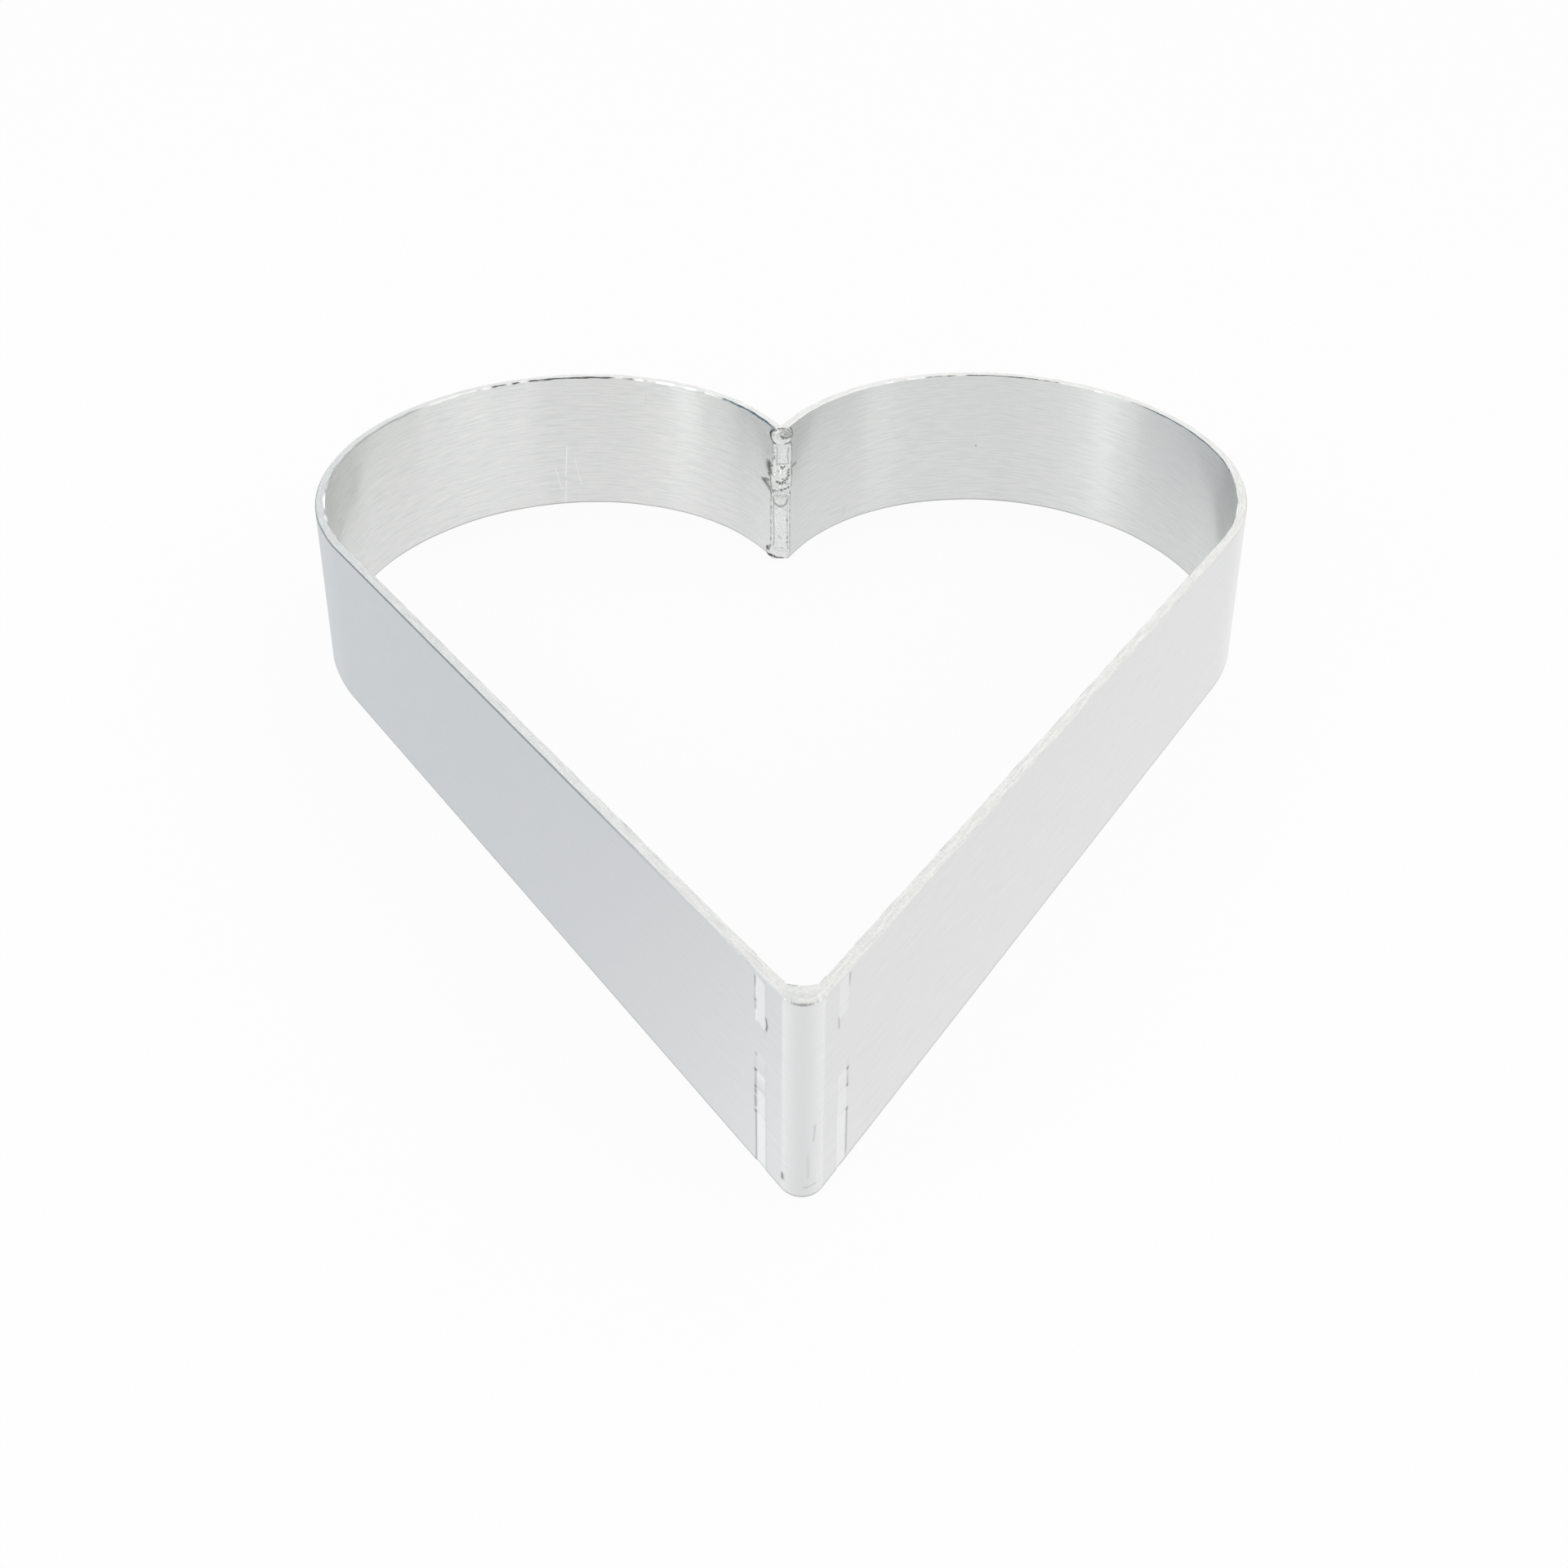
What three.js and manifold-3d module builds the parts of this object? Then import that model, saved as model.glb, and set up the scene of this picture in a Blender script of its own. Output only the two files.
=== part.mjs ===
// Heart cake ring: a flat aluminium strip folded once at the tip, rolled into two lobes and closed by a
// weld where its two square-cut ends meet in the cleft. Nothing on it moves.
//
// Millimetres, +Z up. The origin is the bottom centre of the ring's box, the tip points to -Y and the
// cleft to +Y. The plan is drawn first with the legs' sharp crossing point at its origin, and the whole
// ring is then moved to its own origin.

import * as THREE from 'three';
import { mergeVertices } from 'three/addons/utils/BufferGeometryUtils.js';
import Module from 'manifold-3d';

// Strip
const HEART_WIDTH = 255; // across the outsides of the two lobes
const STRIP_HEIGHT = 45;
const STRIP_THICKNESS = 2.5;
const EDGE_BREAK = 0.25; // chamfer along the sheared edges
const LEG_ANGLE = THREE.MathUtils.degToRad(37); // each leg, from the line of symmetry
const CLEFT_ANGLE = THREE.MathUtils.degToRad(29.5); // each end, from the line of symmetry
const TIP_INSIDE_RADIUS = 3.5; // of the fold
const TIP_OUTSIDE_RADIUS = 4.5; // tighter than a plain bend, because the fold was pressed home in the die
const END_FLAT = 4; // stretch at each end that the rolls leave straight
const ROOT_GAP = 0.4; // between the two ends where they come closest

// Weld, laid down in the cleft from the top edge to the bottom edge
const WELD_CLEARANCE = 0.3; // between weld metal and strip
const WELD_EDGE_INSET = 0.3; // from the strip's top and bottom edges
const DEPOSIT_GAP = 0.3; // between one deposit and the next
const TOE_LAP = 0.7; // weld metal lapping back round each end's inner corner
const TOE_THICKNESS = 0.25;
const TOP_TACK = { length: 5.6, crown: 1.2 };
const UPPER_RUN = { length: 6.6, crown: 0.45 };
const TIE_IN = { length: 10.2, crown: 1.7 };
const LOWER_RUN = { crown: 0.55 }; // takes up the length that the others leave
const BOTTOM_TACK = { length: 4.2, crown: 0.9 };
const CRATER_RADIUS = 1.5;
const CRATER_DEPTH = 0.7;

// Finish
const ALUMINIUM = { color: 0xd3d6d8, roughness: 0.38, metalness: 1 };
const WELD_METAL = { color: 0xdcdedd, roughness: 0.5, metalness: 1 };

// Fineness of the curves
const ARC_SEGMENTS = 24; // pairs of chords on each arc of the strip
const CROWN_POINTS = 14; // chords across a deposit
const DEPOSIT_RINGS = 9; // sections along a deposit
const CROWN_SQUARENESS = 4; // 2 is an ellipse; more is flatter, with fuller shoulders
const END_THICKNESS_SHARE = 0.35; // of a deposit's crown that is left at its rounded ends
const CRATER_FACETS = 14;

const wasm = await Module();
wasm.setup();

// Plan of the right half, seen from above
const outerRadius = (HEART_WIDTH / 2 - ROOT_GAP / 2 - END_FLAT * Math.sin(CLEFT_ANGLE))
  / (1 + Math.cos(CLEFT_ANGLE));
const innerRadius = outerRadius - STRIP_THICKNESS;
const lobeX = HEART_WIDTH / 2 - outerRadius;
const tipInsideY = (TIP_INSIDE_RADIUS + STRIP_THICKNESS / 2) / Math.sin(LEG_ANGLE);
const tipOutsideY = (TIP_OUTSIDE_RADIUS - STRIP_THICKNESS / 2) / Math.sin(LEG_ANGLE);
const lobeMiddleRadius = outerRadius - STRIP_THICKNESS / 2;
const legLength = (lobeX + lobeMiddleRadius * Math.cos(LEG_ANGLE)) / Math.sin(LEG_ANGLE);
const lobeY = legLength * Math.cos(LEG_ANGLE) + lobeMiddleRadius * Math.sin(LEG_ANGLE);
const lobe = new THREE.Vector2(lobeX, lobeY);
const endTurn = Math.PI - CLEFT_ANGLE; // where the rolled stretch stops, seen from the lobe's centre
const endOutward = new THREE.Vector2(Math.cos(endTurn), Math.sin(endTurn));
const endForward = new THREE.Vector2(-Math.sin(endTurn), Math.cos(endTurn));
const frontY = tipOutsideY - TIP_OUTSIDE_RADIUS;
const backY = lobeY + outerRadius;

// A point near the right end: so far out from the lobe's centre, and so far past the rolled stretch.
function atEnd(radius, forward) {
  return lobe.clone().addScaledVector(endOutward, radius).addScaledVector(endForward, forward);
}

function mirrored(point) {
  return new THREE.Vector2(-point.x, point.y);
}

// The strip's outline: out along its outer face from the left end to the right, then back along the inner.
function stripOutline() {
  const outer = atEnd(outerRadius, END_FLAT);
  const inner = atEnd(innerRadius, END_FLAT);
  const outline = new THREE.Shape();
  const leftStart = mirrored(atEnd(outerRadius, 0));
  outline.moveTo(-outer.x, outer.y);
  outline.lineTo(leftStart.x, leftStart.y);
  outline.absarc(-lobeX, lobeY, outerRadius, CLEFT_ANGLE, Math.PI + LEG_ANGLE, false);
  outline.absarc(0, tipOutsideY, TIP_OUTSIDE_RADIUS, Math.PI + LEG_ANGLE, 2 * Math.PI - LEG_ANGLE, false);
  outline.absarc(lobeX, lobeY, outerRadius, -LEG_ANGLE, endTurn, false);
  outline.lineTo(outer.x, outer.y);
  outline.lineTo(inner.x, inner.y);
  outline.absarc(lobeX, lobeY, innerRadius, endTurn, -LEG_ANGLE, true);
  outline.absarc(0, tipInsideY, TIP_INSIDE_RADIUS, 2 * Math.PI - LEG_ANGLE, Math.PI + LEG_ANGLE, true);
  outline.absarc(-lobeX, lobeY, innerRadius, Math.PI + LEG_ANGLE, CLEFT_ANGLE, true);
  outline.lineTo(-inner.x, inner.y);
  outline.closePath();
  return outline;
}

function stripGeometry() {
  const geometry = new THREE.ExtrudeGeometry(stripOutline(), {
    depth: STRIP_HEIGHT - 2 * EDGE_BREAK,
    curveSegments: ARC_SEGMENTS,
    bevelThickness: EDGE_BREAK,
    bevelSize: EDGE_BREAK,
    bevelOffset: -EDGE_BREAK,
    bevelSegments: 1,
  });
  return geometry.translate(0, 0, EDGE_BREAK);
}

// The weld's seat on the right end: down the end face from the line of symmetry, round the inner corner
// and back along the inner face, all at the clearance.
const seatLine = END_FLAT + WELD_CLEARANCE;
const seatFace = atEnd(outerRadius, seatLine);
const seatRoot = seatFace.clone().addScaledVector(endOutward, -seatFace.x / endOutward.x);
const seatCorner = atEnd(innerRadius - WELD_CLEARANCE, seatLine);
const seatToe = atEnd(innerRadius - WELD_CLEARANCE, seatLine - TOE_LAP);
const crownToe = atEnd(innerRadius - WELD_CLEARANCE - TOE_THICKNESS, seatLine - TOE_LAP);

// One closed section of weld metal, counter-clockwise seen from above: the crown from the left toe to the
// right toe, then back along the seat.
function weldSection(crown) {
  const rise = crownToe.y - seatCorner.y + crown;
  const section = [];
  for (let i = 0; i <= CROWN_POINTS; i += 1) {
    const across = -Math.cos((Math.PI * i) / CROWN_POINTS);
    const fullness = (1 - Math.abs(across) ** CROWN_SQUARENESS) ** (1 / CROWN_SQUARENESS);
    section.push(new THREE.Vector2(crownToe.x * across, crownToe.y - rise * fullness));
  }
  section.push(seatToe, seatCorner, seatRoot, mirrored(seatCorner), mirrored(seatToe));
  return section;
}

// A closed solid skinned over level sections that all have the same number of points.
function skinned(sections, heights) {
  const count = sections[0].length;
  const positions = sections.flatMap((section, level) =>
    section.flatMap((point) => [point.x, point.y, heights[level]]));
  const indices = [];
  for (let level = 0; level + 1 < sections.length; level += 1) {
    for (let i = 0; i < count; i += 1) {
      const a = level * count + i;
      const b = level * count + (i + 1) % count;
      indices.push(a, b, b + count, a, b + count, a + count);
    }
  }
  const top = (sections.length - 1) * count;
  for (const [a, b, c] of THREE.ShapeUtils.triangulateShape(sections[0], [])) {
    indices.push(a, c, b);
  }
  for (const [a, b, c] of THREE.ShapeUtils.triangulateShape(sections.at(-1), [])) {
    indices.push(top + a, top + b, top + c);
  }
  const geometry = new THREE.BufferGeometry();
  geometry.setAttribute('position', new THREE.Float32BufferAttribute(positions, 3));
  geometry.setIndex(indices);
  return geometry;
}

// One deposit of weld metal: full in the middle of its length and rounded down at both ends.
function depositGeometry({ bottom, top, crown }) {
  const sections = [];
  const heights = [];
  for (let ring = 0; ring < DEPOSIT_RINGS; ring += 1) {
    const along = -Math.cos((Math.PI * ring) / (DEPOSIT_RINGS - 1));
    const swell = END_THICKNESS_SHARE + (1 - END_THICKNESS_SHARE) * Math.sqrt(1 - along * along);
    sections.push(weldSection(crown * swell));
    heights.push((bottom + top) / 2 + along * (top - bottom) / 2);
  }
  return skinned(sections, heights);
}

function solid(geometry) {
  const bare = geometry.clone();
  bare.deleteAttribute('normal');
  bare.deleteAttribute('uv');
  const merged = mergeVertices(bare);
  return new wasm.Manifold(new wasm.Mesh({
    numProp: 3,
    vertProperties: new Float32Array(merged.attributes.position.array),
    triVerts: new Uint32Array(merged.index.array),
  }));
}

function cut(geometry, tool) {
  const mesh = solid(geometry).subtract(solid(tool)).getMesh();
  const result = new THREE.BufferGeometry();
  result.setAttribute('position', new THREE.Float32BufferAttribute(mesh.vertProperties, 3));
  result.setIndex(new THREE.Uint32BufferAttribute(mesh.triVerts, 1));
  return result;
}

// The arc was broken off at the top tack, which left a round hollow in its face.
function cratered(geometry, { bottom, top, crown }) {
  const face = seatCorner.y - crown;
  const crater = new THREE.SphereGeometry(CRATER_RADIUS, CRATER_FACETS, CRATER_FACETS);
  crater.translate(0, face - CRATER_RADIUS + CRATER_DEPTH, (bottom + top) / 2);
  return cut(geometry, crater);
}

// The deposits' places, stacked down from the top edge and up from the bottom edge.
function weldDeposits() {
  const topTack = { ...TOP_TACK, top: STRIP_HEIGHT - WELD_EDGE_INSET };
  topTack.bottom = topTack.top - TOP_TACK.length;
  const upperRun = { ...UPPER_RUN, top: topTack.bottom - DEPOSIT_GAP };
  upperRun.bottom = upperRun.top - UPPER_RUN.length;
  const tieIn = { ...TIE_IN, top: upperRun.bottom - DEPOSIT_GAP };
  tieIn.bottom = tieIn.top - TIE_IN.length;
  const bottomTack = { ...BOTTOM_TACK, bottom: WELD_EDGE_INSET };
  bottomTack.top = bottomTack.bottom + BOTTOM_TACK.length;
  const lowerRun = {
    ...LOWER_RUN,
    bottom: bottomTack.top + DEPOSIT_GAP,
    top: tieIn.bottom - DEPOSIT_GAP,
  };
  return {
    weld_top_tack: cratered(depositGeometry(topTack), topTack),
    weld_upper_run: depositGeometry(upperRun),
    weld_tie_in: depositGeometry(tieIn),
    weld_lower_run: depositGeometry(lowerRun),
    weld_bottom_tack: depositGeometry(bottomTack),
  };
}

const ring = new THREE.Group();
ring.name = 'heart_cake_ring';
ring.position.y = -(frontY + backY) / 2;

function addPiece(name, geometry, finish) {
  const mesh = new THREE.Mesh(geometry, new THREE.MeshStandardMaterial(finish));
  mesh.name = name;
  ring.add(mesh);
}

addPiece('heart_strip', stripGeometry(), ALUMINIUM);
for (const [name, geometry] of Object.entries(weldDeposits())) {
  addPiece(name, geometry, WELD_METAL);
}

export default ring;
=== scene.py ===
"""Looks of the heart cake ring: brushed aluminium strip, fold marks and cleft weld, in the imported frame.

Metres, +Z up, origin at the bottom centre of the ring, tip towards -Y and cleft towards +Y.
"""

import math
from collections import namedtuple

import bpy
from mathutils import Matrix, Vector, noise


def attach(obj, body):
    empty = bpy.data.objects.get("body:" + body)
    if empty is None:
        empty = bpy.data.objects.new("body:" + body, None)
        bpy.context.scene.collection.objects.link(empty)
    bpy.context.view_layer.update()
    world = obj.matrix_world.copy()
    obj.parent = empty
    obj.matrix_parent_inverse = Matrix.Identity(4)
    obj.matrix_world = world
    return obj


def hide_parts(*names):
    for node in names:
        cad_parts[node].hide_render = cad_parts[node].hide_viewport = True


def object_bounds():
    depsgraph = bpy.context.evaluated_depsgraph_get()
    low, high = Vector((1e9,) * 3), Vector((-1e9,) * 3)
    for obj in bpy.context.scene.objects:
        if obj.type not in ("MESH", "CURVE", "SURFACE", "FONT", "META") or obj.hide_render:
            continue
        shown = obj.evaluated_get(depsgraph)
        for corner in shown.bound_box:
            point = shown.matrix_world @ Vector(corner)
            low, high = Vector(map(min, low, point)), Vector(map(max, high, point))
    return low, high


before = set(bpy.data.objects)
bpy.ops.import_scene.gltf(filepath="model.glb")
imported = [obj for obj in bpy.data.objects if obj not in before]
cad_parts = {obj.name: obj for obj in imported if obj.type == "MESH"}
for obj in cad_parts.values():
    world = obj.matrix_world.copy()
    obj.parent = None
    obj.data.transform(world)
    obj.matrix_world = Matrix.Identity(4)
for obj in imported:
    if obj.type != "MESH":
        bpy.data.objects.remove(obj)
CAD_LOW, CAD_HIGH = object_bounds()

MM = 0.001

# Plan of the strip, the same driving sizes as the solid
HEART_WIDTH = 255 * MM
STRIP_HEIGHT = CAD_HIGH.z - CAD_LOW.z
STRIP_THICKNESS = 2.5 * MM
LEG_ANGLE = math.radians(37)
CLEFT_ANGLE = math.radians(29.5)
TIP_INSIDE_RADIUS = 3.5 * MM
TIP_OUTSIDE_RADIUS = 4.5 * MM
END_FLAT = 4 * MM
ROOT_GAP = 0.4 * MM

half_thickness = STRIP_THICKNESS / 2
lobe_span = HEART_WIDTH / 2 - ROOT_GAP / 2 - END_FLAT * math.sin(CLEFT_ANGLE)
outer_radius = lobe_span / (1 + math.cos(CLEFT_ANGLE))
inner_radius = outer_radius - STRIP_THICKNESS
middle_radius = outer_radius - half_thickness
lobe_x = HEART_WIDTH / 2 - outer_radius
leg_length = (lobe_x + middle_radius * math.cos(LEG_ANGLE)) / math.sin(LEG_ANGLE)
plan_lobe_y = leg_length * math.cos(LEG_ANGLE) + middle_radius * math.sin(LEG_ANGLE)
plan_tip_y = (TIP_OUTSIDE_RADIUS - half_thickness) / math.sin(LEG_ANGLE)
plan_front = plan_tip_y - TIP_OUTSIDE_RADIUS
plan_back = plan_lobe_y + outer_radius
plan_shift = -(plan_front + plan_back) / 2
crossing = Vector((0, plan_shift))  # where the middle lines of the legs would cross
lobe = Vector((lobe_x, plan_lobe_y + plan_shift))
end_turn = math.pi - CLEFT_ANGLE
girth = 2 * (STRIP_HEIGHT + STRIP_THICKNESS)  # once round the cross-section
inside_bottom = 2 * STRIP_HEIGHT + STRIP_THICKNESS  # where the unrolled inside ends, at the bottom edge

# Camera: the photograph's view, with part of its upright-keeping lens shift
CAMERA_AZIMUTH = -1.36
CAMERA_ELEVATION = 34.9
CAMERA_DISTANCE = 1.55 * HEART_WIDTH
CAMERA_CENTRE = Vector((0, 0.5 * MM, STRIP_HEIGHT / 2))
CAMERA_AIM = Vector((-1.0 * MM, 0.5 * MM, 117.1 * MM))
CAMERA_ROLL = math.radians(0.17)
CAMERA_LENS = 35.625
CAMERA_SENSOR = 36.0
CAMERA_SHIFT = -0.3
CAMERA_NEAR_LIMIT = 10 * MM


def unit(angle):
    return Vector((math.cos(angle), math.sin(angle)))


def towards(azimuth, elevation):
    """Direction from the ring to a place in the studio, from angles in degrees."""
    a, e = math.radians(azimuth), math.radians(elevation)
    return Vector((math.sin(a) * math.cos(e), -math.cos(a) * math.cos(e), math.sin(e)))


def smooth(low, high, value):
    """0 at low and before, 1 at high and beyond, with soft ends between. High may be the smaller one."""
    t = min(max((value - low) / (high - low), 0.0), 1.0)
    return t * t * (3 - 2 * t)


def through(points, value):
    """A smooth curve through (place, size) points, read at one place."""
    if value <= points[0][0]:
        return points[0][1]
    for (low, first), (high, second) in zip(points, points[1:]):
        if value <= high:
            return first + (second - first) * smooth(low, high, value)
    return points[-1][1]


class Mark:
    """A soft mark along a line, in millimetres across and up: its reach, its height and how dark it is."""

    def __init__(self, points, reach, height=0.0, dark=0.0):
        self.points = [Vector(point) for point in points]
        self.reach = reach
        self.height = height
        self.dark = dark

    def strength(self, x, z):
        spot = Vector((x, z))
        if len(self.points) == 1:
            nearest = (spot - self.points[0]).length
        else:
            nearest = min(self.from_part(spot, a, b) for a, b in zip(self.points, self.points[1:]))
        return math.exp(-((nearest / self.reach) ** 2))

    @staticmethod
    def from_part(spot, start, end):
        step = end - start
        t = min(max((spot - start).dot(step) / step.length_squared, 0.0), 1.0)
        return (spot - start - step * t).length


def darkness(marks, x, z):
    """How dark the darkest of the marks makes this place."""
    return max(mark.dark * mark.strength(x, z) for mark in marks)


# Columns of the strip along its length

TIP_STEP = 0.25 * MM
DIE_STEP = 0.2 * MM
LEG_STEP = 3 * MM
LOBE_STEP = 1.1 * MM
END_STEP = 0.25 * MM
DIE_REACH = 16 * MM  # length of each leg, from the crossing, that has fine columns
NEAR_WELD = 6 * MM  # length of each lobe next to its flat end that has fine columns
MIRROR = Vector((-1, 1))
leg_way = Vector((math.sin(LEG_ANGLE), math.cos(LEG_ANGLE)))
leg_out = unit(-LEG_ANGLE)
end_out = unit(end_turn)
end_forward = Vector((-end_out.y, end_out.x))


class Column:
    """One cross-section of the right half of the strip, or its mirror: inner and outer point in plan."""

    def __init__(self, inner, outer, stretch):
        self.inner = inner
        self.outer = outer
        self.stretch = stretch
        self.side = 1
        self.along = 0.0  # from the middle of the fold, negative on the left
        self.leg_place = (outer - crossing).dot(leg_way)

    def spot(self, offset):
        """Point at a distance out from the middle of the strip's thickness."""
        return self.inner.lerp(self.outer, 0.5 + offset / STRIP_THICKNESS)

    def mirrored(self):
        copy = Column(self.inner * MIRROR, self.outer * MIRROR, self.stretch)
        copy.side, copy.along, copy.leg_place = -1, -self.along, self.leg_place
        return copy


def on_leg(inner_length, outer_length):
    """Inner and outer point of the right leg, at two lengths along it from the crossing."""
    inner = crossing + leg_way * inner_length - leg_out * half_thickness
    outer = crossing + leg_way * outer_length + leg_out * half_thickness
    return inner, outer


def at_end(forward):
    """Inner and outer point of the right flat end, at a distance along it from the lobe."""
    return tuple(lobe + end_out * radius + end_forward * forward for radius in (inner_radius, outer_radius))


def arc(stretch, inner, outer, start, end, step):
    """Columns between two arcs, each given by its centre and radius."""
    (inner_centre, inner_size), (outer_centre, outer_size) = inner, outer
    count = round((end - start) * (inner_size + outer_size) / 2 / step)
    for i in range(count + 1):
        out = unit(start + (end - start) * i / count)
        yield Column(inner_centre + out * inner_size, outer_centre + out * outer_size, stretch)


def straight(stretch, start, end, step):
    """Columns between two pairs of inner and outer points."""
    count = round((end[1] - start[1]).length / step)
    for i in range(count + 1):
        yield Column(start[0].lerp(end[0], i / count), start[1].lerp(end[1], i / count), stretch)


def right_half():
    """Columns from the middle of the fold along the right leg and lobe to the right end."""
    inner_place = (TIP_INSIDE_RADIUS + half_thickness) / math.tan(LEG_ANGLE)
    outer_place = (TIP_OUTSIDE_RADIUS - half_thickness) / math.tan(LEG_ANGLE)
    inner_centre = Vector((0, (TIP_INSIDE_RADIUS + half_thickness) / math.sin(LEG_ANGLE))) + crossing
    outer_centre = Vector((0, (TIP_OUTSIDE_RADIUS - half_thickness) / math.sin(LEG_ANGLE))) + crossing
    fold_arcs = (inner_centre, TIP_INSIDE_RADIUS), (outer_centre, TIP_OUTSIDE_RADIUS)
    lobe_arcs = (lobe, inner_radius), (lobe, outer_radius)
    near = end_turn - NEAR_WELD / middle_radius
    die_end = on_leg(DIE_REACH, DIE_REACH)
    parts = [
        arc("tip", *fold_arcs, -math.pi / 2, -LEG_ANGLE, TIP_STEP),
        straight("die", on_leg(inner_place, outer_place), die_end, DIE_STEP),
        straight("leg", die_end, on_leg(leg_length, leg_length), LEG_STEP),
        arc("lobe", *lobe_arcs, -LEG_ANGLE, near, LOBE_STEP),
        arc("near", *lobe_arcs, near, end_turn, END_STEP),
        straight("end", at_end(0.0), at_end(END_FLAT), END_STEP),
    ]
    return joined([list(part) for part in parts])


def joined(parts):
    """All parts in one row, each column with its place along the strip. Where parts meet, one is kept."""
    row = parts[0]
    for part in parts[1:]:
        row += part[1:]
    for before, column in zip(row, row[1:]):
        column.along = before.along + (column.spot(0.0) - before.spot(0.0)).length
    return row


right_columns = right_half()
columns = [column.mirrored() for column in reversed(right_columns[1:])] + right_columns
half_length = right_columns[-1].along
fold_reach = max(column.along for column in right_columns if column.stretch == "tip")
lobe_start = min(column.along for column in right_columns if column.stretch == "lobe")
lobe_end = max(column.along for column in right_columns if column.stretch == "lobe")

# Marks that the making of the strip left on it

DIE_BAND = (9.0 * MM, 11.6 * MM)  # along each leg, from the crossing
DIE_DEPTH = 0.11 * MM
DIE_SOFT_EDGE = 0.2 * MM  # half the width over which a pressed strip fades towards the fold
DIE_CRISP_EDGE = 0.1 * MM  # the same, away from the fold
DIE_SLANT = 0.35  # in millimetres, how far the ends of the pressed strips run uphill
DIE_LOWER_FADE = (0.3, 0.05)  # in millimetres below a contact, where it begins and where it is full
DIE_UPPER_FADE = 0.25  # in millimetres above a contact, where it has ended
DIE_CONTACTS = {  # on each side, height from and to, in millimetres, where the die pressed, and how hard
    -1: ((0.0, 12.1, 1.0), (12.6, 15.4, 0.85), (15.7, 17.7, 0.8), (18.7, 22.0, 0.9), (24.0, 26.2, 0.3),
         (33.8, 43.7, 0.75)),
    1: ((0.3, 12.2, 0.8), (12.7, 17.9, 0.55), (18.5, 22.0, 0.5), (36.0, 43.8, 0.45)),
}
DIE_EDGE_DARKENING = {  # place along the leg and height, in millimetres: dark lines and dots along the pressed strips' edges
    -1: [
        Mark([(11.7, 0.0), (11.7, 12.0)], 0.22, dark=0.42),
        Mark([(11.8, 12.35)], 0.33, dark=0.95),
        Mark([(11.8, 13.5), (11.8, 15.3)], 0.38, dark=0.45),
        Mark([(11.9, 15.6)], 0.32, dark=0.7),
        Mark([(11.8, 16.6), (11.8, 17.6)], 0.36, dark=0.5),
        Mark([(11.8, 18.2)], 0.34, dark=0.9),
        Mark([(11.7, 20.3), (11.7, 21.8)], 0.24, dark=0.4),
        Mark([(11.8, 22.2)], 0.36, dark=0.95),
        Mark([(11.6, 25.7), (11.6, 26.3)], 0.25, dark=0.4),
        Mark([(8.7, 33.9), (8.4, 35.2), (8.8, 36.5)], 0.2, dark=0.75),
        Mark([(11.7, 36.5), (11.7, 38.3)], 0.22, dark=0.35),
        Mark([(11.8, 38.5)], 0.3, dark=0.7),
        Mark([(11.8, 41.0), (11.8, 43.8)], 0.22, dark=0.5),
    ],
    1: [
        Mark([(11.9, 1.2), (11.9, 12.0)], 0.22, dark=0.42),
        Mark([(11.9, 12.45)], 0.32, dark=0.8),
        Mark([(11.9, 18.2)], 0.32, dark=0.8),
        Mark([(11.9, 22.2)], 0.34, dark=0.9),
        Mark([(8.9, 34.2), (8.7, 36.4)], 0.22, dark=0.35),
        Mark([(12.0, 42.6), (12.0, 43.9)], 0.24, dark=0.4),
    ],
}
WELD_MARKS_AND_FIN_SHADOWS = [  # across from the middle of the cleft and height, in millimetres. The second to fifth are painted shadows under the spatter fins; the others darken the strip beside the weld
    Mark([(-3.4, 32.3), (-3.6, 31.0), (-3.2, 29.6)], 0.75, dark=0.85),
    Mark([(-5.4, 25.0), (-4.5, 24.3), (-2.8, 23.0)], 0.4, dark=0.95),
    Mark([(-5.0, 25.1), (-3.9, 25.8)], 0.36, dark=0.75),
    Mark([(-4.6, 25.0), (-3.6, 24.6)], 0.8, dark=0.25),
    Mark([(3.0, 30.7), (4.5, 31.0)], 0.3, dark=0.8),
    Mark([(-3.3, 38.5), (-3.2, 35.0)], 0.9, dark=0.1),
]
TIP_STAINS = [  # along the strip from the middle of the fold, and height, in millimetres
    Mark([(-3.6, 3.2), (-3.7, 4.0)], 0.42, dark=0.8),
    Mark([(1.8, 13.4), (1.9, 15.0), (2.0, 17.0)], 0.15, dark=0.26),
    Mark([(0.95, 4.8), (0.85, 9.4)], 0.15, dark=0.16),
    Mark([(0.3, 2.5), (2.3, 2.9)], 0.17, dark=0.25),
]
SPECKS_PER_MM = 2.4
SPECK_SEED = 4.0
FOLD_EDGE_DIRT = 0.3
RIGHT_EDGE_DIRT = 0.12
LEFT_EDGE_DARKENING = (0.1, 0.4)  # at the fold, and added to it round the lobe
LEFT_EDGE_RISE = (25 * MM, 75 * MM)  # from the fold, where the darkening of the left edge sets in
INNER_EDGE_DIRT = 0.5
OUTER_SIDE_START = (25 * MM, 40 * MM)  # from the start of a lobe, where the dirt of its inner edge sets in
OUTER_SIDE_END = (96 * MM, 84 * MM)  # and where it fades
LEFT_END_DIRT = (32 * MM, 20 * MM)  # from the left end, where the dirt of the inner edge sets in
ROLL_WAVES = ((23 * MM, 0.03 * MM, 0.4), (13.7 * MM, 0.016 * MM, 1.7), (41 * MM, 0.05 * MM, 3.0))
ROLL_START = 8 * MM  # length over which the waves set in at the leg
ROLL_END = 6 * MM  # and over which they fade near the weld
STROKE_LENGTH = 3.8 * MM
STROKE_WANDER = 0.4  # how much the lengths of the strokes differ
WANDERS_PER_METRE = 70
GOLDEN_RATIO = 0.61803  # gives neighbouring strokes values that are far apart


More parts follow.
